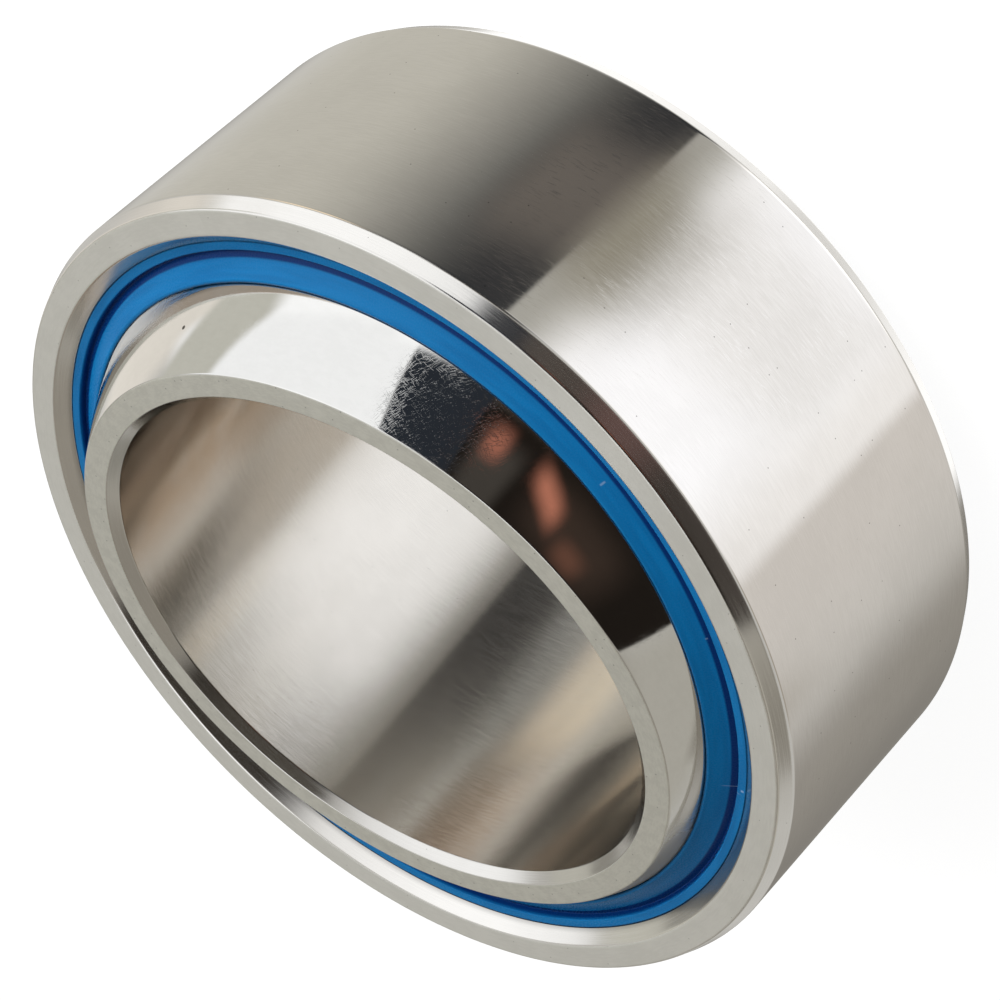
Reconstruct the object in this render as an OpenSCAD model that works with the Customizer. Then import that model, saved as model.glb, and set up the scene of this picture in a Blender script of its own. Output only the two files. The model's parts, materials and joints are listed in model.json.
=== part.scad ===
// Sealed radial spherical plain bearing with a dry sliding liner.
// The inner ring stands on its lower side face, with its bore along Z and the
// centre of its ball at the origin. The outer ring carries the liner and both
// seals, and leans about the Y axis until its lower edge meets the same surface.

/* [Inner ring] */
// Bore diameter
bore_d = 50; // [40:0.5:80]
// Thickness of the inner ring from the bore to the crest of the ball
inner_wall = 8; // [7:0.1:12]
// Width between the two side faces of the inner ring
inner_w = 35; // [30:0.5:40]
// Size of the 45 degree chamfer at each end of the bore
bore_chamfer = 0.8; // [0.3:0.1:1.2]

/* [Outer ring] */
// Thickness of the outer ring at the deepest point of its raceway
outer_wall = 3.95; // [3.5:0.05:8]
// Distance by which the inner ring stands proud of the outer ring at each side
overhang = 3.5; // [2:0.1:5]
// Radial size of the lead-in chamfer at each end of the outside
lead_radial = 0.6; // [0.3:0.1:1.2]
// Axial length of the same chamfer
lead_axial = 1.4; // [0.6:0.1:2]
// Size of the 45 degree mouth that opens from each seal to the side face
mouth = 1.1; // [0.6:0.1:1.5]

/* [Sliding liner] */
// Thickness of the fabric liner bonded into the raceway
liner_t = 0.5; // [0.3:0.05:0.8]
// Radial running clearance between the ball and the liner
ball_gap = 0.05; // [0.02:0.01:0.1]
// Distance by which the liner stops short of each seal seat
liner_inset = 0.2; // [0.1:0.1:0.5]

/* [Seals] */
// Radial width of a seal, from the wall of its seat to its lip on the ball
seal_w = 3.35; // [3:0.05:3.8]
// Height of a seal above the floor of its seat
seal_h = 2.5; // [2.2:0.1:2.8]
// Radial play between a seal and the wall of its seat
seat_gap = 0.02; // [0.01:0.01:0.05]
// Distance by which the retaining bead reaches into the wall of the seat
bead_reach = 0.7; // [0.4:0.1:1]
// Height of the retaining bead
bead_h = 1.2; // [0.8:0.1:1.5]
// Width of the flat rim that runs round the outside of a seal
rim_w = 0.8; // [0.5:0.1:1]
// Depth of the groove between the rim and the outer lip
groove_depth = 0.6; // [0.3:0.1:0.8]
// Radial width of the groove's outer flank
groove_flank = 0.25; // [0.1:0.05:0.4]
// Depth of the outer lip's edge below the side face of the outer ring
lip_depth = 0.47; // [0.3:0.01:0.7]
// Height over which the outer lip lies along the ball
lip_band = 0.45; // [0.3:0.05:0.6]
// Width of the blunt crown on the outer lip
lip_crown = 0.3; // [0.2:0.05:0.5]
// Height of the inner lip above the floor of the seat
inner_lip_h = 0.7; // [0.5:0.1:0.9]
// Depth of the hollow between the two lips
relief = 0.5; // [0.3:0.05:0.7]
// Gap between each lip and the ball
lip_gap = 0.05; // [0.02:0.01:0.1]

/* [Hidden] */
$fn = 144;

// Spare length by which a cutting shape passes the face it cuts
over = mouth;

// Radius of a sphere about the origin at height z
function sphere_at(r, z) = sqrt(r * r - z * z);
// Section point on a sphere about the origin at height z
function on_sphere(r, z) = [sphere_at(r, z), z];
// Section points turned over to the other side of the middle plane
function turned_over(points) = [for (i = [len(points) - 1:-1:0]) [points[i][0], -points[i][1]]];

bore_r = bore_d / 2;
inner_half = inner_w / 2;
outer_half = inner_half - overhang;

// Spheres shared by the ball, the liner, the raceway and the lips
ball_r = bore_r + inner_wall;
liner_r = ball_r + ball_gap;
race_r = liner_r + liner_t;
lip_r = ball_r + lip_gap;
relief_r = lip_r + relief;

// Outside of the outer ring, and the outer edge of its side faces
outer_r = race_r + outer_wall;
face_r = outer_r - lead_radial;

// Lean at which that edge comes level with the lower side face of the inner ring
tilt = asin(inner_half / norm([face_r, outer_half])) - atan2(outer_half, face_r);

// Heights of the seal and its seat above the middle plane of the outer ring
rim_z = outer_half - mouth;
floor_z = rim_z - seal_h;
bead_z = floor_z + bead_h;
groove_z = rim_z - groove_depth;
lip_z = outer_half - lip_depth;
band_z = lip_z - lip_band;
inner_lip_z = floor_z + inner_lip_h;
relief_z = (inner_lip_z + band_z) / 2;
crown_z = lip_z + lip_crown / 3;

// Radii of the seal and its seat
tip_r = sphere_at(lip_r, lip_z);
seat_r = tip_r + seal_w;
bead_r = seat_r + bead_reach;
mouth_r = seat_r + mouth;
floor_r = sphere_at(race_r, floor_z);
rim_r = seat_r - rim_w;
groove_r = rim_r - groove_flank;
crown_r = tip_r + lip_crown;

// One half of the outer ring's section, before the raceway is cut
outer_section = [
    [floor_r - over, floor_z],
    [bead_r, floor_z],
    [bead_r, bead_z],
    [seat_r, bead_z],
    [seat_r, rim_z],
    [mouth_r, outer_half],
    [face_r, outer_half],
    [outer_r, outer_half - lead_axial],
];

// Section of a seal: bead and rim on the outside, two lips on the ball
seal_section = [
    [floor_r, floor_z],
    on_sphere(lip_r, inner_lip_z),
    on_sphere(relief_r, relief_z),
    on_sphere(lip_r, band_z),
    [tip_r, lip_z],
    [crown_r, crown_z],
    [groove_r, groove_z],
    [rim_r, rim_z],
    [seat_r - seat_gap, rim_z],
    [seat_r - seat_gap, bead_z],
    [bead_r - seat_gap, bead_z],
    [bead_r - seat_gap, floor_z],
];

// Swivels the outer ring and what it carries about the centre of the ball
module swivelled() {
    rotate([0, tilt, 0]) children();
}

// Chamfer cutter for the upper end of the bore
module bore_mouth() {
    translate([0, 0, inner_half - bore_chamfer])
        cylinder(h = bore_chamfer + over, r1 = bore_r, r2 = bore_r + bore_chamfer + over);
}

module inner_ring() {
    color("silver")
        difference() {
            intersection() {
                sphere(r = ball_r);
                cylinder(h = inner_w, r = ball_r + over, center = true);
            }
            cylinder(h = inner_w + 2 * over, r = bore_r, center = true);
            bore_mouth();
            mirror([0, 0, 1]) bore_mouth();
        }
}

module outer_ring() {
    color("gainsboro")
        swivelled()
            difference() {
                rotate_extrude() polygon(concat(outer_section, turned_over(outer_section)));
                sphere(r = race_r);
            }
}

module sliding_liner() {
    color("tan")
        swivelled()
            intersection() {
                difference() {
                    sphere(r = race_r);
                    sphere(r = liner_r);
                }
                cylinder(h = 2 * (floor_z - liner_inset), r = race_r + over, center = true);
            }
}

module seal() {
    rotate_extrude() polygon(seal_section);
}

module front_seal() {
    color("dodgerblue") swivelled() seal();
}

module rear_seal() {
    color("dodgerblue") swivelled() mirror([0, 0, 1]) seal();
}

inner_ring();
outer_ring();
sliding_liner();
front_seal();
rear_seal();
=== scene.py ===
# Sealed spherical plain bearing: ground outer ring, chromed ball, blue lip seals.
# It lies on one face of the inner ring, the outer ring drooped until its rim touches the floor.
import json
import math

import bpy
import numpy as np
from mathutils import Matrix, Vector


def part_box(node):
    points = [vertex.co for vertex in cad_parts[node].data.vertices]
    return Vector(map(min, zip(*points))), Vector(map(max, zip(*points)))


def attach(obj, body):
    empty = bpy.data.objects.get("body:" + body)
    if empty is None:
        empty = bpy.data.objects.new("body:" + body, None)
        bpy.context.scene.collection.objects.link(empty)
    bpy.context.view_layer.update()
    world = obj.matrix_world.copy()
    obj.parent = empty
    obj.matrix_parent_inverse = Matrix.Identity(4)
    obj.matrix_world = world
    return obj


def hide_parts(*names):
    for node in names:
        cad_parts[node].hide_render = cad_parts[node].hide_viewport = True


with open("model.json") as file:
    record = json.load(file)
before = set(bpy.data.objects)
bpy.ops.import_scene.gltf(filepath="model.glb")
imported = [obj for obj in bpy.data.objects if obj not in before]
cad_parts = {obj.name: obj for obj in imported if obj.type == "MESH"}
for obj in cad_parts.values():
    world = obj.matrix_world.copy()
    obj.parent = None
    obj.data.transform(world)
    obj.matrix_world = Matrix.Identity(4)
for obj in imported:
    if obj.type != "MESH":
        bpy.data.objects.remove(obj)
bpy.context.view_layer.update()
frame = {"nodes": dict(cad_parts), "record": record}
scene = bpy.context.scene
scene.view_settings.view_transform = "Standard"
mm = 0.001
print("frame loaded:", sorted(frame["nodes"]))

# main sizes, all read from the frame
mounts = {mount["name"]: mount for mount in frame["record"]["mounts"]}
boreR = mounts["bore"]["dims"]["r_mm"]
outerR = mounts["housing_seat"]["dims"]["r_mm"]
landHalf = mounts["housing_seat"]["dims"]["length_mm"] / 2  # ground land between the lead chamfers
boreHalf = mounts["bore"]["dims"]["length_mm"] / 2
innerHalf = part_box("inner_ring")[1].z / mm
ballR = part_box("inner_ring")[1].x / mm
leanAxis = Vector(mounts["housing_seat"]["axis"])
lean = math.atan2(leanAxis.x, leanAxis.z)
upright = Matrix.Identity(3)
leaned = Matrix.Rotation(lean, 3, "Y")


# a chord half-length: how far from the axis a sphere of that radius is at that height
def onSphere(radius, height):
    return math.sqrt(radius * radius - height * height)


# an arc in the (radius, height) plane: radius*cos, radius*sin over evenly spaced latitudes
def sphereArc(radius, fromHeight, toHeight, count):
    latitude = np.linspace(math.asin(fromHeight / radius), math.asin(toHeight / radius), count)
    return np.stack([radius * np.cos(latitude), radius * np.sin(latitude)], 1)


# runs of a closed section are trimmed back from their shared corners, and each corner is bridged
# by the quadratic blend (1-t)^2 start + 2t(1-t) corner + t^2 end; gives points and a zone per step
def roundedSection(runs, steps=5, guard=0.04):
    points, zones = [], []
    for index, run in enumerate(runs):
        path = np.array(run["path"], float)
        nextRun = runs[(index + 1) % len(runs)]
        along = np.concatenate([[0], np.cumsum(np.hypot(*np.diff(path, axis=0).T))])
        before, after, total = run["round"], nextRun["round"], along[-1]
        spread = np.linspace(before, total - after, max(run.get("count", 2), 2))
        spread = np.concatenate([[before, before + guard], spread[1:-1],
                                 [total - after - guard, total - after]])
        kept = np.stack([np.interp(spread, along, path[:, axis]) for axis in (0, 1)], 1)
        nextPath = np.array(nextRun["path"], float)
        nextAlong = np.concatenate([[0], np.cumsum(np.hypot(*np.diff(nextPath, axis=0).T))])
        landing = np.array([np.interp(after, nextAlong, nextPath[:, axis]) for axis in (0, 1)])
        t = np.linspace(0, 1, steps + 2)[1:-1, None]
        bend = (1 - t) ** 2 * kept[-1] + 2 * t * (1 - t) * path[-1] + t * t * landing
        points += [kept, bend]
        half = (steps + 1) // 2
        zones += [run["zone"]] * (len(kept) - 1 + half) + [nextRun["zone"]] * (steps + 1 - half)
    points, zones = np.concatenate(points), np.array(zones)
    r, z = points.T
    area = np.sum(r * np.roll(z, -1) - np.roll(r, -1) * z)
    if area < 0:  # the section has to run anticlockwise so that faces look outwards
        points, zones = points[::-1], np.roll(zones[::-1], -1)
    return points, zones


# a closed section carried round the axis: x = r cos a, y = r sin a, z = height, then turned as a whole;
# "spot" keeps (cos a, sin a, length along the section) and "sheet" the surface rolled flat, both in mm
def latheRing(name, section, turns, turn, finishes):
    points, zones = section
    count = len(points)
    angle = np.linspace(0, 2 * math.pi, turns, endpoint=False)
    cosA, sinA = np.cos(angle)[:, None], np.sin(angle)[:, None]
    r, z = points[:, 0][None], points[:, 1][None]
    spread = np.stack([r * cosA, r * sinA, z + 0 * cosA], 2).reshape(-1, 3)
    verts = spread @ np.array(turn).T * mm
    i, j = np.meshgrid(np.arange(turns), np.arange(count), indexing="ij")
    i2, j2 = (i + 1) % turns, (j + 1) % count
    quads = np.stack([i * count + j, i2 * count + j, i2 * count + j2, i * count + j2], 2).reshape(-1, 4)
    mesh = bpy.data.meshes.new(name)
    mesh.vertices.add(len(verts))
    mesh.vertices.foreach_set("co", verts.ravel())
    mesh.loops.add(quads.size)
    mesh.loops.foreach_set("vertex_index", quads.ravel())
    mesh.polygons.add(len(quads))
    mesh.polygons.foreach_set("loop_start", np.arange(0, quads.size, 4))
    names = list(finishes)
    lookup = {zone: index for index, zone in enumerate(names)}
    slotOf = np.array([lookup[zone] for zone in zones])
    mesh.polygons.foreach_set("material_index", np.tile(slotOf, turns))
    mesh.polygons.foreach_set("use_smooth", np.ones(len(quads), bool))
    length = np.concatenate([[0], np.cumsum(np.hypot(*(np.roll(points, -1, 0) - points).T))])
    around = np.concatenate([angle, [2 * math.pi]])
    corner = np.stack([
        np.stack([around[i], length[j]], 2), np.stack([around[i + 1], length[j]], 2),
        np.stack([around[i + 1], length[j + 1]], 2), np.stack([around[i], length[j + 1]], 2),
    ], 2).reshape(-1, 2)
    flat = mesh.uv_layers.new(name="rolled")
    flat.data.foreach_set("uv", (corner / [2 * math.pi, length[-1]]).ravel())
    radius = np.tile(points[:, 0], turns)[quads.ravel()]
    spot = np.stack([np.cos(corner[:, 0]), np.sin(corner[:, 0]), corner[:, 1]], 1)
    sheet = np.stack([(corner[:, 0] - math.pi) * radius.mean(), corner[:, 1], radius], 1)
    for label, values in (("spot", spot), ("sheet", sheet)):
        store = mesh.attributes.new(label, "FLOAT_VECTOR", "CORNER")
        store.data.foreach_set("vector", values.ravel())
    for zone in names:
        mesh.materials.append(finishes[zone])
    mesh.update()
    mesh.validate()
    piece = bpy.data.objects.new(name, mesh)
    scene.collection.objects.link(piece)
    print(name, "quads", len(quads))
    return piece


# a node with its settings and its inputs, each input a number or a link
def put(tree, kind, settings=None, inputs=None):
    node = tree.nodes.new(kind)
    for key, value in (settings or {}).items():
        setattr(node, key, value)
    for key, value in (inputs or {}).items():
        wire(tree, value, node.inputs[key])
    return node


def wire(tree, value, socket):
    if isinstance(value, bpy.types.NodeSocket):
        tree.links.new(value, socket)
    else:
        socket.default_value = value


# one step of arithmetic
def calc(tree, operation, *values):
    return put(tree, "ShaderNodeMath", {"operation": operation}, dict(enumerate(values))).outputs[0]


# a value carried from one range to another, eased at both ends
def span(tree, value, low, high, toLow=0.0, toHigh=1.0, smooth=True):
    kind = "SMOOTHSTEP" if smooth else "LINEAR"
    node = put(tree, "ShaderNodeMapRange", {"interpolation_type": kind})
    for index, each in enumerate((value, low, high, toLow, toHigh)):
        wire(tree, each, node.inputs[index])
    return node.outputs[0]


def blendColour(tree, factor, first, second, mode="MIX"):
    node = put(tree, "ShaderNodeMix", {"data_type": "RGBA", "blend_type": mode})
    for index, each in ((0, factor), (6, first), (7, second)):
        wire(tree, each, node.inputs[index])
    return node.outputs[2]


# a place scaled, and turned and shifted if need be, for a texture to read
def stretched(tree, vector, scale, turn=0.0, shift=(0, 0, 0)):
    node = put(tree, "ShaderNodeMapping", None,
               {"Vector": vector, "Location": shift, "Rotation": (0, 0, math.radians(turn)), "Scale": scale})
    return node.outputs[0]


def noise(tree, vector, scale=1.0, detail=2.0, rough=0.5, warp=0.0, flat=False):
    node = put(tree, "ShaderNodeTexNoise", {"noise_dimensions": "2D" if flat else "3D"},
               {"Vector": vector, "Scale": scale, "Detail": detail, "Roughness": rough, "Distortion": warp})
    return node.outputs[0]


# a number from two vectors: how far apart they are, or how far one reaches along the other
def measure(tree, operation, first, second):
    return put(tree, "ShaderNodeVectorMath", {"operation": operation}, {0: first, 1: second}).outputs["Value"]


def distanceTo(tree, vector, point):
    return measure(tree, "DISTANCE", vector, point)


def reachAlong(tree, vector, direction):
    return measure(tree, "DOT_PRODUCT", vector, direction)


# the direction that lies at an angle round the ring
def roundRing(angle):
    return math.cos(math.radians(angle)), math.sin(math.radians(angle)), 0


def attribute(tree, name):
    return put(tree, "ShaderNodeAttribute", {"attribute_name": name}).outputs["Vector"]


def newFinish(name):
    material = bpy.data.materials.new(name)
    material.use_nodes = True
    return material, material.node_tree, material.node_tree.nodes["Principled BSDF"]


# bump from a height in mm
def roughen(tree, shader, height, distance=mm, strength=1.0):
    bump = put(tree, "ShaderNodeBump", None, {"Height": height, "Distance": distance, "Strength": strength})
    wire(tree, bump.outputs[0], shader.inputs["Normal"])


# surface place in mm, in the part's own frame
def placeInMm(tree):
    place = put(tree, "ShaderNodeTexCoord").outputs["Object"]
    return put(tree, "ShaderNodeVectorMath", {"operation": "SCALE"}, {0: place, "Scale": 1 / mm}).outputs[0]


# 1 round a point and 0 beyond its radius
def dotAt(tree, place, point, radius, core=0.6):
    return span(tree, distanceTo(tree, place, point), radius, radius * core)


# fine scratches: rows a set distance apart sway with slow noise and are cut into lengths; a share of the
# lengths is kept, each at its own place across its row, thinning out towards its ends
def hairlines(tree, sheet, sway, turn, lines, seed):
    length, width, apart = lines["size"]
    where = put(tree, "ShaderNodeMapping", {"vector_type": "TEXTURE"},
                {"Vector": sheet, "Location": (seed * 7, seed * 3, 0), "Rotation": (0, 0, math.radians(turn)),
                 "Scale": (length, apart, 1)}).outputs[0]
    along, row = put(tree, "ShaderNodeSeparateXYZ", None, {0: where}).outputs[:2]
    row = calc(tree, "MULTIPLY_ADD", sway, lines["sway"] / apart, row)
    step = calc(tree, "FLOOR", row)
    shift = put(tree, "ShaderNodeTexWhiteNoise", {"noise_dimensions": "1D"}, {"W": step}).outputs["Value"]
    along = calc(tree, "MULTIPLY_ADD", shift, 40.0, along)
    piece = calc(tree, "FLOOR", along)
    cell = put(tree, "ShaderNodeCombineXYZ", None, {0: piece, 1: step, 2: seed}).outputs[0]
    lot = put(tree, "ShaderNodeTexWhiteNoise", {"noise_dimensions": "3D"}, {"Vector": cell}).outputs["Color"]
    offset, chance = put(tree, "ShaderNodeSeparateColor", None, {0: lot}).outputs[:2]
    away = calc(tree, "SUBTRACT", calc(tree, "FRACT", row), span(tree, offset, 0, 1, 0.2, 0.8, False))
    line = span(tree, calc(tree, "ABSOLUTE", away), width / apart, width / apart * 0.3)
    fromEnd = calc(tree, "PINGPONG", along, 0.5)
    kept = calc(tree, "LESS_THAN", chance, lines["share"])
    return calc(tree, "MULTIPLY", calc(tree, "MULTIPLY", line, kept), span(tree, fromEnd, 0.0, 0.25))


# what collects on the steel, and the painted shade for the seal mouth's inner corner
dirtAndShadeTones = {"pit": (0.07, 0.065, 0.06), "cornerShade": (0.05, 0.05, 0.052), "grease": (0.60, 0.59, 0.55)}


# steel finishes: grain that runs round the ring, hairlines, mottling, pits, dents and side tints, which on
# the bore are painted reflection
def steelFinish(name, look):
    material, tree, shader = newFinish(name)
    spot, sheet, place = attribute(tree, "spot"), attribute(tree, "sheet"), placeInMm(tree)
    along, across, depth = look["grain"]
    fine = noise(tree, stretched(tree, spot, (along, along, across)), 1, 2.0, 0.6)  # grain round the ring
    mottle = noise(tree, stretched(tree, sheet, (look["mottle"],) * 2 + (0,)), 1, 3.0, 0.6, 0, True)
    tone = calc(tree, "ADD", calc(tree, "MULTIPLY", fine, 0.55), calc(tree, "MULTIPLY", mottle, 0.45))
    colour = blendColour(tree, span(tree, tone, 0.36, 0.64), (*look["darkTone"], 1), (*look["lightTone"], 1))
    rough = span(tree, fine, 0.3, 0.7, look["rough"][0], look["rough"][1])
    height = calc(tree, "MULTIPLY", fine, depth)
    lines = look["lines"]
    group = span(tree, mottle, 0.42, 0.66, lines["least"], lines["most"])
    for point, radius in lines.get("worn", []):  # rubbed places, where the hairlines crowd
        group = calc(tree, "MAXIMUM", group, dotAt(tree, place, point, radius, 0.45))
    sway = noise(tree, stretched(tree, sheet, (0.3, 0.3, 0)), 1, 1.0, 0.5, 0, True)  # bends the hairlines
    for index, turn in enumerate(lines["turns"]):
        layer = calc(tree, "MULTIPLY", hairlines(tree, sheet, sway, turn, lines, 3.1 + index * 5.7), group)
        rough = calc(tree, "MULTIPLY_ADD", layer, lines["rough"], rough)
        height = calc(tree, "MULTIPLY_ADD", layer, -lines["depth"], height)
    rate, size, dark = look["pits"]
    cells = put(tree, "ShaderNodeTexVoronoi", {"feature": "F1", "voronoi_dimensions": "2D"},
                {"Vector": stretched(tree, sheet, (rate, rate, 0)), "Scale": 1.0})
    pick = put(tree, "ShaderNodeSeparateColor", None, {0: cells.outputs["Color"]}).outputs[0]
    pit = calc(tree, "MULTIPLY", span(tree, cells.outputs["Distance"], size * rate, size * rate * 0.4),
               span(tree, pick, 0.86, 0.88, 0.0, dark))
    for point, radius in look.get("dents", []):
        pit = calc(tree, "MAXIMUM", pit, dotAt(tree, place, point, radius))
    colour = blendColour(tree, pit, colour, (*dirtAndShadeTones["pit"], 1))
    for angle, half, soft, tint in look.get("sideTints", []):  # tints on one side of the ring; on the bore they are painted reflection, tan and darker bands
        toward = reachAlong(tree, spot, roundRing(angle))
        overlay = span(tree, toward, math.cos(math.radians(half + soft)), math.cos(math.radians(half - soft)))
        overlay = calc(tree, "MULTIPLY", overlay, span(tree, mottle, 0.25, 0.6, 0.75, 1.0))
        colour = blendColour(tree, overlay, colour, (*tint, 1), "MULTIPLY")
    if "cornerShade" in look:  # painted shade: the seal mouth darkened towards its inner corner, by radius
        low, high, dirtAndShade = look["cornerShade"]
        radius = put(tree, "ShaderNodeSeparateXYZ", None, {0: sheet}).outputs[2]
        colour = blendColour(tree, span(tree, radius, high, low, 0.0, dirtAndShade), colour, (*dirtAndShadeTones["cornerShade"], 1))
    shader.inputs["Metallic"].default_value = 1.0
    if "grease" in look:  # wiped up by the lip, a band square to the leaning axis and clean on one side
        low, high, overlay, clean = look["grease"]
        lift = calc(tree, "ABSOLUTE", reachAlong(tree, place, leanAxis))
        band = calc(tree, "MULTIPLY", span(tree, lift, high, low), span(tree, lift, low - 1.9, low - 1.5))
        toward = reachAlong(tree, spot, roundRing(clean))
        band = calc(tree, "MULTIPLY", band, span(tree, toward, 0.45, 0.1))
        colour = blendColour(tree, calc(tree, "MULTIPLY", band, overlay), colour, (*dirtAndShadeTones["grease"], 1))
        rough = calc(tree, "MULTIPLY_ADD", band, 0.45, rough)
        wire(tree, calc(tree, "MULTIPLY_ADD", band, -1.0, 1.0), shader.inputs["Metallic"])
    wire(tree, colour, shader.inputs["Base Color"])
    wire(tree, rough, shader.inputs["Roughness"])
    shader.inputs["Anisotropic"].default_value = look["anisotropy"]
    shader.inputs["Anisotropic Rotation"].default_value = 0.25  # a quarter turn, across the grain
    roughen(tree, shader, height)
    return material


# lengths and depths in mm; grain = features per radian round the ring, features per mm across, depth;
# lines = hairlines: size (length, half width, distance apart), share kept;
# pits = cells per mm, radius, darkness; sideTints = angle, half width, softness in degrees, tint, painted
# reflection on the bore;
# grease = from and to this far from the middle, strength, angle of the clean side
groundLand = {
    "lightTone": (0.745, 0.73, 0.705), "darkTone": (0.70, 0.685, 0.66),
    "rough": (0.05, 0.075), "anisotropy": 0.1,
    "grain": (24.0, 9.0, 0.00006), "mottle": 0.12, "pits": (0.45, 0.07, 0.7),
    "lines": {"turns": [2, 14], "size": (0.9, 0.025, 0.2), "share": 0.15, "sway": 0.5, "rough": 0.05,
              "depth": 0.0004, "least": 0.25, "most": 0.7},
}
turnedEdge = dict(groundLand, rough=(0.12, 0.18), grain=(6.0, 12.0, 0.00015), pits=(0.3, 0.06, 0.5),
                  lines=dict(groundLand["lines"], turns=[1]))
# cornerShade is painted shade that dims the mouth towards the seat, where it mirrors the seal
seatMouth = dict(turnedEdge, rough=(0.14, 0.20), cornerShade=(33.5, 33.9, 0.35),
                 sideTints=[(12, 22, 12, (0.86, 0.76, 0.68))])
lappedSide = dict(groundLand, lightTone=(0.785, 0.78, 0.745), darkTone=(0.735, 0.73, 0.695),
                  rough=(0.33, 0.41), anisotropy=0.15, grain=(30.0, 5.0, 0.0004), mottle=0.35,
                  pits=(0.8, 0.07, 0.45), lines=dict(groundLand["lines"], turns=[8]))
# worn places on the ball, all round it
scuffedPlaces = [((22.0, -19.6, 14.6), 7.0), ((-12.0, 27.0, 14.8), 6.0), ((-24.0, -18.0, -14.0), 6.0)]
ballMirror = {
    "lightTone": (0.72, 0.715, 0.70), "darkTone": (0.70, 0.695, 0.68),
    "rough": (0.035, 0.05), "anisotropy": 0.0,
    "grain": (30.0, 2.0, 0.00002), "mottle": 0.2, "pits": (0.2, 0.05, 0.8),
    "lines": {"turns": [42, -18, 66], "size": (0.7, 0.024, 0.10), "share": 0.38, "sway": 1.4, "rough": 0.12,
              "depth": 0.0008, "least": 0.03, "most": 0.25, "worn": scuffedPlaces},
    "grease": (14.8, 16.6, 0.8, -55), "dents": [((29.62, 4.31, 13.9), 0.22)],
}
innerSide = dict(lappedSide, lightTone=(0.745, 0.74, 0.685), darkTone=(0.665, 0.66, 0.61),
                 rough=(0.34, 0.44), grain=(46.0, 6.0, 0.0006), mottle=0.8, pits=(1.1, 0.09, 0.5))
boreEdge = dict(turnedEdge, lightTone=(0.67, 0.657, 0.635), darkTone=(0.63, 0.617, 0.595),
                dents=[((24.67, 6.58, 17.23), 0.35), ((25.14, 2.21, 16.94), 0.3),
                       ((25.3, -1.4, 17.2), 0.3), ((21.6, -13.4, 17.4), 0.4)])
# ground along its length as well, so what it mirrors runs out into bands from end to end
groundBore = dict(groundLand, lightTone=(0.76, 0.745, 0.71), darkTone=(0.70, 0.685, 0.65),
                  rough=(0.17, 0.205), anisotropy=1.0, grain=(14.0, 7.0, 0.00004),
                  lines=dict(groundLand["lines"], turns=[1], size=(4.0, 0.03, 0.35), share=0.06,
                             rough=0.02, depth=0.0002),
                  # sideTints on the bore are painted reflection: tan and darker bands standing in for what
                  # the bore mirrors
                  sideTints=[(54, 19.5, 7, (0.70, 0.565, 0.445)), (46, 11, 8, (0.50, 0.43, 0.36)),
                         (83, 8, 6, (0.88, 0.84, 0.79)), (143, 6.5, 5, (0.80, 0.78, 0.76)),
                         (190, 12, 6, (0.78, 0.75, 0.72))])
raceFinish = dict(groundLand, rough=(0.2, 0.28))


# blue seal: soft gloss, faint flow marks, painted shade in its groove and along its edges, a few pale nicks
sealLook = {
    "blue": (0.006, 0.21, 0.535), "deepBlue": (0.005, 0.178, 0.47), "grooveShade": (0.001, 0.036, 0.18),
    "edgeShade": (0.002, 0.012, 0.035), "nick": (0.45, 0.62, 0.85), "rough": (0.22, 0.32), "gloss": 0.09,
    "groove": (32.28, 0.46), "lipEdge": 30.28, "rimEdge": 33.40,
    # angle round the ring, radius, half width and half length of the mark, strength
    "nicks": [(-32.45, 32.50, 0.14, 0.24, 0.75), (-66.3, 31.33, 0.12, 0.26, 0.40),
              (-92.6, 31.95, 0.10, 0.12, 0.30), (-119.5, 32.20, 0.05, 1.00, 0.45),
              (-118.7, 33.15, 0.16, 0.16, 0.60)],
}


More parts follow.
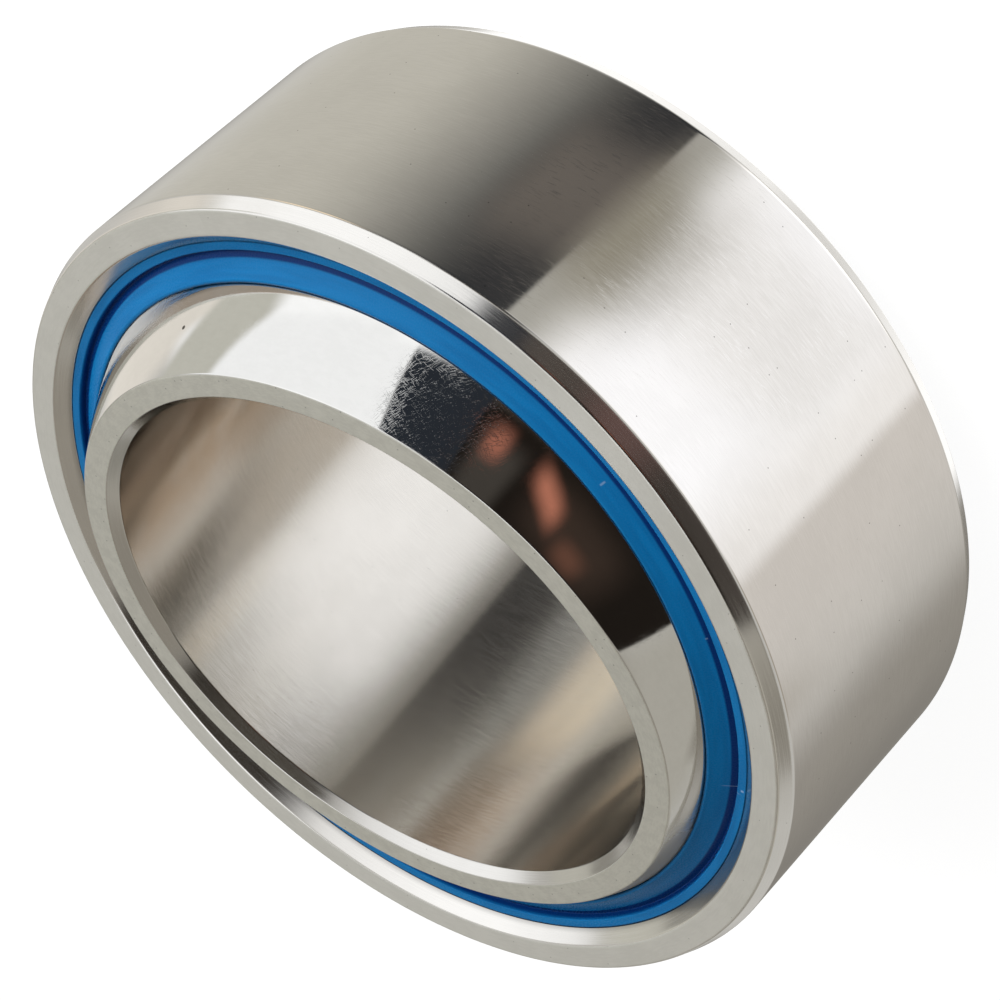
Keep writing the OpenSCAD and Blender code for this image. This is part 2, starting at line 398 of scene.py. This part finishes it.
# colours by radius: deep blue to blue with the flow, painted shade in the groove and at both edges, then the
# nicks
def sealFinish(name, look):
    material, tree, shader = newFinish(name)
    spot, sheet = attribute(tree, "spot"), attribute(tree, "sheet")
    radius = put(tree, "ShaderNodeSeparateXYZ", None, {0: sheet}).outputs[2]
    flow = noise(tree, stretched(tree, spot, (5.0, 5.0, 1.6)), 1, 3.0, 0.55)
    grain = noise(tree, stretched(tree, sheet, (7.0, 7.0, 0)), 1, 2.0, 0.6, 0, True)
    colour = blendColour(tree, span(tree, flow, 0.35, 0.65), (*look["deepBlue"], 1), (*look["blue"], 1))
    middle, half = look["groove"]
    off = calc(tree, "ABSOLUTE", calc(tree, "SUBTRACT", radius, middle))
    # painted shade: the groove darkened towards deep navy
    colour = blendColour(tree, span(tree, off, half, half * 0.6), colour, (*look["grooveShade"], 1))
    # painted shade: a dark line at the lip's edge next to the ball and at the rim's edge next to the ring's
    # mouth
    edge = calc(tree, "MAXIMUM", span(tree, radius, look["lipEdge"] + 0.06, look["lipEdge"] - 0.02),
                span(tree, radius, look["rimEdge"] - 0.03, look["rimEdge"] + 0.04))
    colour = blendColour(tree, calc(tree, "MULTIPLY", edge, 0.5), colour, (*look["edgeShade"], 1))
    ring = put(tree, "ShaderNodeVectorMath", {"operation": "MULTIPLY"}, {0: spot, 1: (1, 1, 0)}).outputs[0]
    for angle, middle, halfWidth, halfLength, strength in look["nicks"]:
        away = distanceTo(tree, ring, roundRing(angle))
        across = span(tree, calc(tree, "MULTIPLY", away, middle), halfWidth, halfWidth * 0.3, 0.0, strength)
        off = calc(tree, "ABSOLUTE", calc(tree, "SUBTRACT", radius, middle))
        mark = calc(tree, "MULTIPLY", across, span(tree, off, halfLength, halfLength * 0.5))
        colour = blendColour(tree, mark, colour, (*look["nick"], 1))
    wire(tree, colour, shader.inputs["Base Color"])
    rough = span(tree, grain, 0.3, 0.7, look["rough"][0], look["rough"][1])
    wire(tree, rough, shader.inputs["Roughness"])
    shader.inputs["Specular IOR Level"].default_value = look["gloss"]
    height = calc(tree, "MULTIPLY", grain, 0.0006)
    roughen(tree, shader, height)
    return material


# woven liner: warp and weft as crossed waves, ochre fibre with darker resin between
linerLook = {"fibre": (0.50, 0.42, 0.29), "resin": (0.30, 0.24, 0.16),
             "threadsPerMetre": 1500.0, "waveStep": 6.3, "rough": 0.75}


# thread is where both waves are high
def linerFinish(name, look):
    material, tree, shader = newFinish(name)
    place = put(tree, "ShaderNodeTexCoord").outputs["Object"]
    wave = {"Vector": place, "Scale": look["threadsPerMetre"] / look["waveStep"], "Distortion": 0.6}
    warp = put(tree, "ShaderNodeTexWave", {"bands_direction": "Z"}, wave).outputs[1]
    weft = put(tree, "ShaderNodeTexWave", {"bands_direction": "DIAGONAL"}, wave).outputs[1]
    weave = calc(tree, "MULTIPLY", warp, weft)
    dirtAndShade = noise(tree, place, 300, 4.0)
    colour = blendColour(tree, calc(tree, "MULTIPLY", weave, dirtAndShade), (*look["resin"], 1), (*look["fibre"], 1))
    wire(tree, colour, shader.inputs["Base Color"])
    shader.inputs["Roughness"].default_value = look["rough"]
    roughen(tree, shader, weave, 0.05 * mm, 0.6)
    return material


# outer ring: ground land, lead chamfers, flat side faces, flared seal mouths, spherical race
outerRing = {
    "faceR": 36.9, "half": 14.0, "mouthR": 34.604, "seatR": 33.504, "rimZ": 12.9, "beadZ": 11.6,
    "beadR": 34.204, "floorZ": 10.4, "raceR": 33.55, "edgeRound": 0.18, "fineRound": 0.06, "turns": 512,
}


# one run of a section: its finish, how far its first corner is cut back, its path and its count of steps
def ringRun(zone, edge, path, count=2):
    return {"zone": zone, "round": edge, "path": path, "count": count}


# the section goes up the land and in over one side, down the arc of the race sphere, and out over the
# other side, which is the first mirrored in the middle plane; then it is carried round the leaning axis
def makeOuterRing(size):
    edge, fine, half = size["edgeRound"], size["fineRound"], size["half"]
    floorR = onSphere(size["raceR"], size["floorZ"])
    upper = [(outerR, landHalf), (size["faceR"], half), (size["mouthR"], half), (size["seatR"], size["rimZ"]),
             (size["seatR"], size["beadZ"]), (size["beadR"], size["beadZ"]), (size["beadR"], size["floorZ"]),
             (floorR, size["floorZ"])]
    lower = [(r, -z) for r, z in upper]
    zones = ["lead", "side", "mouth", "mouth", "race", "race", "race"]
    rounds = [edge, edge, edge, fine, fine, fine, fine]
    runs = [ringRun("land", edge, [lower[0], upper[0]], 12)]
    runs += [ringRun(zones[k], rounds[k], [upper[k], upper[k + 1]]) for k in range(7)]
    runs += [ringRun("race", fine, sphereArc(size["raceR"], size["floorZ"], -size["floorZ"], 30), 30)]
    runs += [ringRun(zones[k], rounds[k], [lower[k + 1], lower[k]]) for k in range(6, -1, -1)]
    finishes = {
        "land": steelFinish("groundLand", groundLand), "lead": steelFinish("turnedEdge", turnedEdge),
        "side": steelFinish("lappedSide", lappedSide), "mouth": steelFinish("turnedMouth", seatMouth),
        "race": steelFinish("groundRace", raceFinish),
    }
    return latheRing("outerRing", roundedSection(runs), size["turns"], leaned, finishes)


ringPiece = makeOuterRing(outerRing)
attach(ringPiece, "housing_ring")
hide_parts("outer_ring")

# ball: spherical inner ring with flat faces and a chamfered bore
innerBall = {"edgeRound": 0.12, "chamferRound": 0.08, "turns": 512}


# the section is an arc of the ball cut off at both faces, closed by the faces, chamfers and bore
def makeBall(size):
    edge, fine = size["edgeRound"], size["chamferRound"]
    faceR, chamferR = onSphere(ballR, innerHalf), boreR + innerHalf - boreHalf
    runs = [
        ringRun("ball", edge, sphereArc(ballR, -innerHalf, innerHalf, 200), 110),
        ringRun("side", edge, [(faceR, innerHalf), (chamferR, innerHalf)]),
        ringRun("chamfer", fine, [(chamferR, innerHalf), (boreR, boreHalf)]),
        ringRun("bore", fine, [(boreR, boreHalf), (boreR, -boreHalf)], 12),
        ringRun("chamfer", fine, [(boreR, -boreHalf), (chamferR, -innerHalf)]),
        ringRun("side", fine, [(chamferR, -innerHalf), (faceR, -innerHalf)]),
    ]
    finishes = {
        "ball": steelFinish("ballMirror", ballMirror), "side": steelFinish("innerSide", innerSide),
        "chamfer": steelFinish("boreChamfer", boreEdge), "bore": steelFinish("groundBore", groundBore),
    }
    return latheRing("innerBall", roundedSection(runs), size["turns"], upright, finishes)


ballPiece = makeBall(innerBall)
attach(ballPiece, "ball")
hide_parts("inner_ring")

# seals: beaded foot in the ring's groove, raised rim, groove, broad lip face and two lips
lipSeal = {
    "seatR": 33.484, "beadR": 34.184, "floorZ": 10.4, "beadZ": 11.6, "rimZ": 12.9, "rimR": 32.704,
    "grooveR": 32.454, "grooveZ": 12.3, "crownR": 30.454, "crownZ": 13.63, "tipR": 30.154, "tipZ": 13.53,
    "lipR": 33.05, "bandZ": 13.08, "reliefR": 33.55, "reliefZ": 12.09, "innerLipZ": 11.1, "floorR": 31.897,
    "softRound": 0.10, "turns": 448,
}


# the section is a closed loop of straight runs; points on the lips and the relief between them lie on
# spheres round the ball's centre, and the rear seal is the front one with its heights turned over
def makeSeal(name, size, side, finish):
    loop = [
        (size["floorR"], size["floorZ"]), (size["beadR"], size["floorZ"]), (size["beadR"], size["beadZ"]),
        (size["seatR"], size["beadZ"]), (size["seatR"], size["rimZ"]), (size["rimR"], size["rimZ"]),
        (size["grooveR"], size["grooveZ"]), (size["crownR"], size["crownZ"]), (size["tipR"], size["tipZ"]),
        (onSphere(size["lipR"], size["bandZ"]), size["bandZ"]),
        (onSphere(size["reliefR"], size["reliefZ"]), size["reliefZ"]),
        (onSphere(size["lipR"], size["innerLipZ"]), size["innerLipZ"]),
    ]
    loop = [(r, side * z) for r, z in loop]
    runs = [ringRun("seal", size["softRound"], pair, 4) for pair in zip(loop, loop[1:] + loop[:1])]
    return latheRing(name, roundedSection(runs, 5, 0.03), size["turns"], leaned, {"seal": finish})


sealBlue = sealFinish("sealBlue", sealLook)
for sealName, node, side in (("frontSeal", "front_seal", 1), ("rearSeal", "rear_seal", -1)):
    sealPiece = makeSeal(sealName, lipSeal, side, sealBlue)
    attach(sealPiece, "housing_ring")
    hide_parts(node)

linerNode = frame["nodes"]["sliding_liner"]
linerNode.data.materials.clear()
linerNode.data.materials.append(linerFinish("linerWeave", linerLook))
print("pieces and finishes made")

# floor: white to the camera, pale to the light that falls on it, so the shadow stays
floorLook = {"reach": 2.5, "shade": (0.25, 0.25, 0.25), "lift": 0.92}


# one square at the height of the lower face
def makeFloor(look):
    reach, level = look["reach"], -innerHalf * mm
    x, y = np.meshgrid([-reach, reach], [-reach, reach])
    corners = np.stack([x.ravel(), y.ravel(), np.full(4, level)], 1)
    mesh = bpy.data.meshes.new("floor")
    mesh.from_pydata(corners.tolist(), [], [(0, 1, 3, 2)])
    material = bpy.data.materials.new("paleFloor")
    material.use_nodes = True
    tree = material.node_tree
    tree.nodes.clear()
    path = put(tree, "ShaderNodeLightPath").outputs["Is Camera Ray"]
    matte = put(tree, "ShaderNodeBsdfDiffuse", None, {"Color": (*look["shade"], 1)})
    lift = put(tree, "ShaderNodeEmission", None, {"Strength": calc(tree, "MULTIPLY", path, look["lift"])})
    both = put(tree, "ShaderNodeAddShader", None, {0: matte.outputs[0], 1: lift.outputs[0]})
    put(tree, "ShaderNodeOutputMaterial", None, {"Surface": both.outputs[0]})
    mesh.materials.append(material)
    floor = bpy.data.objects.new("floor", mesh)
    scene.collection.objects.link(floor)
    floor.visible_glossy = False  # polished steel looks past it to the studio cards


makeFloor(floorLook)

# studio: soft cards all round the part, by azimuth and elevation in degrees (middle, half width, softness,
# and softness of the far edge where it differs); slant lifts a card's middle with azimuth,
# and a later card lies over an earlier one
studioBase = (0.64, 0.63, 0.60)
studioCards = [
    # low cards, met by the ground land and the bore
    {"name": "warmBelow", "azimuth": (35, 60, 20), "elevation": (-40, 14, 5), "glow": (0.64, 0.62, 0.555)},
    {"name": "greyBelow", "azimuth": (150, 40, 16), "elevation": (-38, 15, 5), "glow": (0.25, 0.235, 0.21)},
    {"name": "dimBelow", "azimuth": (-180, 16, 20), "elevation": (-38, 15, 5), "glow": (0.36, 0.34, 0.305)},
    {"name": "paleBelow", "azimuth": (-120, 32, 32), "elevation": (-38, 15, 5), "glow": (0.79, 0.75, 0.71)},
    {"name": "duskStrip", "azimuth": (-45, 25, 10), "elevation": (-28, 5, 2), "glow": (0.08, 0.074, 0.068)},
    {"name": "whiteSlope", "azimuth": (-76, 32, 14, 17), "elevation": (-30, 7, 3),
     "glow": (1.27, 1.25, 1.25)},
    {"name": "whiteBelow", "azimuth": (-88, 30.5, 3, 2), "elevation": (-43, 9.5, 3),
     "glow": (1.13, 1.11, 1.10)},
    {"name": "whiteReach", "azimuth": (-60, 31, 1), "elevation": (-46, 10, 3), "glow": (1.15, 1.14, 1.13)},
    {"name": "brightBelow", "azimuth": (-74, 27, 13), "elevation": (-43, 9.5, 3), "glow": (1.35, 1.36, 1.41)},
    {"name": "greyMiddle", "azimuth": (-75, 28, 6), "elevation": (-41.75, 1.25, 0.4), "slant": -0.09,
     "glow": (1.09, 1.08, 1.08)},
    {"name": "paleTip", "azimuth": (-30, 12, 9), "elevation": (-46, 10, 3), "glow": (0.52, 0.51, 0.47)},
    {"name": "greyWedge", "azimuth": (-31, 21, 16), "elevation": (-44.4, 1.2, 0.35), "slant": -0.0645,
     "glow": (0.36, 0.335, 0.27)},
    {"name": "whiteDeep", "azimuth": (-80, 38, 10), "elevation": (-64, 14, 4), "glow": (1.62, 1.60, 1.59)},
    {"name": "fadeBelow", "azimuth": (-8.2, 21.2, 0.7, 32), "elevation": (-46, 27, 5),
     "glow": (0.043, 0.044, 0.047)},
    {"name": "brownTongue", "azimuth": (-16, 13.2, 0.7, 7), "elevation": (-44.65, 1.1, 0.35),
     "glow": (0.18, 0.16, 0.142)},
    {"name": "tongueRoot", "azimuth": (-29.5, 3, 3.5), "elevation": (-44.65, 1.1, 0.4),
     "glow": (0.27, 0.245, 0.205)},
    {"name": "brownStrip", "azimuth": (-133, 22, 6), "elevation": (-27, 4, 1.5), "glow": (0.40, 0.36, 0.30)},
    {"name": "tanStrip", "azimuth": (25, 11, 8), "elevation": (-27, 4, 1.5), "glow": (1.25, 1.02, 0.74)},
    {"name": "duskRise", "azimuth": (-24, 13, 5), "elevation": (-18, 6, 2), "glow": (0.05, 0.047, 0.044)},
    {"name": "nadir", "azimuth": (125, 72, 12), "elevation": (-90, 39.5, 2.5), "glow": (1.36, 1.36, 1.36)},
    # cards round the horizon and above, met by the ball, the chamfers and the seal mouth
    {"name": "paleSide", "azimuth": (72, 26, 9), "elevation": (-9, 8, 4), "glow": (0.94, 0.89, 0.81)},
    {"name": "greyRound", "azimuth": (128, 62, 10), "elevation": (13, 10, 4), "glow": (0.33, 0.32, 0.285)},
    {"name": "greyBehind", "azimuth": (-152, 38, 10), "elevation": (14, 14, 6), "glow": (0.51, 0.49, 0.435)},
    {"name": "greyLow", "azimuth": (-136, 22, 5), "elevation": (1.8, 3, 1.5), "glow": (0.28, 0.26, 0.22)},
    {"name": "greyHigh", "azimuth": (-170, 55, 15), "elevation": (46, 22, 6), "glow": (0.35, 0.325, 0.28)},
    {"name": "keyCard", "azimuth": (24.75, 37.25, 1, 5), "elevation": (27, 31.5, 2),
     "glow": (1.19, 1.20, 1.21)},
    {"name": "keySide", "azimuth": (25, 31, 6), "elevation": (41, 12, 6), "glow": (1.32, 1.33, 1.34)},
    {"name": "greyCorner", "azimuth": (62, 40, 3), "elevation": (9, 10, 2), "slant": 0.62,
     "glow": (0.66, 0.65, 0.58)},
    {"name": "darkFlag", "azimuth": (-64.5, 52, 0.5), "elevation": (20, 26, 3),
     "glow": (0.016, 0.0125, 0.010)},
    {"name": "dimHigh", "azimuth": (-70, 48, 6), "elevation": (57, 14, 4), "glow": (0.03, 0.025, 0.02)},
    {"name": "dimCrown", "azimuth": (-70, 48, 6), "elevation": (67, 7.5, 1.5), "glow": (0.09, 0.08, 0.066)},
    {"name": "dimLow", "azimuth": (-72, 44, 5), "elevation": (1, 6, 3), "glow": (0.11, 0.095, 0.084)},
    {"name": "ruddyLow", "azimuth": (-66, 9, 7), "elevation": (3, 4, 3), "glow": (0.22, 0.13, 0.12)},
    {"name": "blueDusk", "azimuth": (-24.9, 12.4, 0.6), "elevation": (20, 20, 4),
     "glow": (0.026, 0.031, 0.040)},
    {"name": "brownColumn", "azimuth": (-47.5, 7, 3), "elevation": (26, 10, 5),
     "glow": (0.066, 0.058, 0.050)},
    {"name": "brownDusk", "azimuth": (-80, 16, 8), "elevation": (22, 8, 6), "glow": (0.050, 0.034, 0.026)},
    {"name": "warmA", "azimuth": (-66, 6, 4), "elevation": (19, 3.2, 3.5), "slant": -0.5,
     "glow": (0.56, 0.21, 0.135)},
    {"name": "warmB", "azimuth": (-45, 3.0, 2.4), "elevation": (17, 4, 4), "glow": (0.44, 0.165, 0.11)},
    {"name": "warmC", "azimuth": (-83, 5, 4), "elevation": (26, 3, 3), "glow": (0.15, 0.07, 0.047)},
    {"name": "keyFoot", "azimuth": (3, 28, 4), "elevation": (-3.5, 4.5, 2), "glow": (1.30, 1.31, 1.32)},
    {"name": "keyToe", "azimuth": (-15.5, 9.5, 3.5), "elevation": (0.5, 3.8, 2), "glow": (1.30, 1.31, 1.32)},
    {"name": "keyUnder", "azimuth": (18, 27, 5), "elevation": (-11, 4, 1.2), "glow": (1.34, 1.35, 1.36)},
    {"name": "keyHead", "azimuth": (-8, 17, 11), "elevation": (47, 8, 6), "glow": (1.15, 1.15, 1.15)},
    {"name": "zenith", "azimuth": (0, 181, 1), "elevation": (90, 16, 3), "glow": (1.36, 1.37, 1.38)},
]
# what falls on matt surfaces: the cards dimmed to a fill, and one large soft lamp from the key side
softKey = {"azimuth": (14, 42, 26), "elevation": (36, 26, 20), "glow": (2.7, 2.7, 2.7), "fill": 0.33}


# the room is cut into sectors at these elevations and azimuths, so a ray works out only the cards near it
studioSectors = {"rises": (-90, -18, 90), "bearings": (-180, -122, -64, -4, 66, 180)}


# a card is a soft window on the angle from its middle times one on elevation
def cardWindow(tree, turn, rise, card):
    _, half, soft, farSoft = (*card["azimuth"], card["azimuth"][2])[:4]
    middle, halfRise, softRise = card["elevation"]
    off = calc(tree, "SUBTRACT", rise, middle)
    if "slant" in card:
        off = calc(tree, "MULTIPLY_ADD", turn, -card["slant"], off)
    window = span(tree, calc(tree, "ABSOLUTE", off), halfRise + softRise, halfRise - softRise)
    if half > 180:
        return window
    if soft == farSoft:
        sideways = calc(tree, "ABSOLUTE", turn)
        return calc(tree, "MULTIPLY", window, span(tree, sideways, half + soft, half - soft))
    window = calc(tree, "MULTIPLY", window, span(tree, turn, -half - soft, soft - half))
    return calc(tree, "MULTIPLY", window, span(tree, turn, half + farSoft, half - farSoft))


# signed angle from one azimuth to another
def angleTo(start, end):
    return (end - start + 180) % 360 - 180


# one sector: the cards whose windows reach into it, laid over the base in order
def sectorGlow(tree, bearing, rise, base, cards, sides, ends):
    middle, half = sum(sides) / 2, (sides[1] - sides[0]) / 2
    turn = calc(tree, "SUBTRACT", bearing, middle)
    glow = (*base, 1)
    for card in cards:
        reach = card["azimuth"][1] + max(card["azimuth"][2:])
        lift = sum(card["elevation"][1:]) + abs(card.get("slant", 0)) * reach
        away = angleTo(middle, card["azimuth"][0])
        low, high = card["elevation"][0] - lift, card["elevation"][0] + lift
        if abs(away) < half + reach and low < ends[1] and high > ends[0]:
            window = cardWindow(tree, calc(tree, "SUBTRACT", turn, away), rise, card)
            glow = blendColour(tree, window, glow, (*card["glow"], 1))
    return put(tree, "ShaderNodeBackground", None, {"Color": glow, "Strength": 1.0}).outputs[0]


# the first shader where the factor is 0 and the second where it is 1; none is black
def mixShader(tree, factor, first, second):
    node = put(tree, "ShaderNodeMixShader", None, {0: factor})
    for index, each in ((1, first), (2, second)):
        if each is not None:
            wire(tree, each, node.inputs[index])
    return node.outputs[0]


# white to the camera, cards to steel; matt surfaces get the cards dimmed to a fill, and the lamp
def makeStudio(base, cards, sectors, lamp):
    world = bpy.data.worlds.new("studio")
    scene.world = world
    world.use_nodes = True
    world.cycles.sampling_method = "NONE"  # soft and even, so rays that happen on it are enough
    tree = world.node_tree
    tree.nodes.clear()
    way = put(tree, "ShaderNodeTexCoord").outputs["Generated"]
    x, y, z = put(tree, "ShaderNodeSeparateXYZ", None, {0: way}).outputs[:3]
    bearing = calc(tree, "DEGREES", calc(tree, "ARCTAN2", y, x))
    rise = calc(tree, "DEGREES", calc(tree, "ARCSINE", z))
    rises, bearings = sectors["rises"], sectors["bearings"]
    room = None
    for ends in zip(rises, rises[1:]):
        storey = None
        for sides in zip(bearings, bearings[1:]):
            glow = sectorGlow(tree, bearing, rise, base, cards, sides, ends)
            past = calc(tree, "GREATER_THAN", bearing, sides[0])
            storey = mixShader(tree, past, storey, glow) if storey else glow
        above = calc(tree, "GREATER_THAN", rise, ends[0])
        room = mixShader(tree, above, room, storey) if room else storey
    path = put(tree, "ShaderNodeLightPath").outputs
    matt = path["Is Diffuse Ray"]
    room = mixShader(tree, calc(tree, "MULTIPLY", matt, 1 - lamp["fill"]), room, None)
    fromLamp = calc(tree, "SUBTRACT", bearing, lamp["azimuth"][0])
    key = put(tree, "ShaderNodeBackground", None,
              {"Color": (*lamp["glow"], 1), "Strength": cardWindow(tree, fromLamp, rise, lamp)}).outputs[0]
    room = put(tree, "ShaderNodeAddShader", None, {0: room, 1: mixShader(tree, matt, None, key)}).outputs[0]
    white = put(tree, "ShaderNodeBackground", None, {"Color": (1, 1, 1, 1), "Strength": 1.0}).outputs[0]
    put(tree, "ShaderNodeOutputWorld", None, {"Surface": mixShader(tree, path["Is Camera Ray"], room, white)})


makeStudio(studioBase, studioCards, studioSectors, softKey)
print("studio set")

# camera: turned and rolled as the photograph was taken
cameraView = {"azimuth": -54.925, "elevation": 32.17, "roll": -139.68, "distance": 297.17,
              "aim": (0.077, -0.609, -0.866), "lens": 130.983}


# the camera stands at a distance along a direction given by azimuth and elevation, then rolls about it
def makeCamera(view):
    azimuth, elevation = math.radians(view["azimuth"]), math.radians(view["elevation"])
    back = Vector((math.cos(azimuth) * math.cos(elevation), math.sin(azimuth) * math.cos(elevation),
                   math.sin(elevation)))
    sideways = Vector((0, 0, 1)).cross(back).normalized()
    upward = back.cross(sideways)
    roll = math.radians(view["roll"])
    right = sideways * math.cos(roll) + upward * math.sin(roll)
    up = back.cross(right)
    matrix = Matrix((right, up, back)).transposed().to_4x4()
    matrix.translation = (Vector(view["aim"]) + back * view["distance"]) * mm
    data = bpy.data.cameras.new("camera")
    data.lens, data.sensor_width, data.clip_start = view["lens"], 36.0, 0.01
    camera = bpy.data.objects.new("camera", data)
    scene.collection.objects.link(camera)
    camera.matrix_world = matrix
    scene.camera = camera


makeCamera(cameraView)
print("camera set")
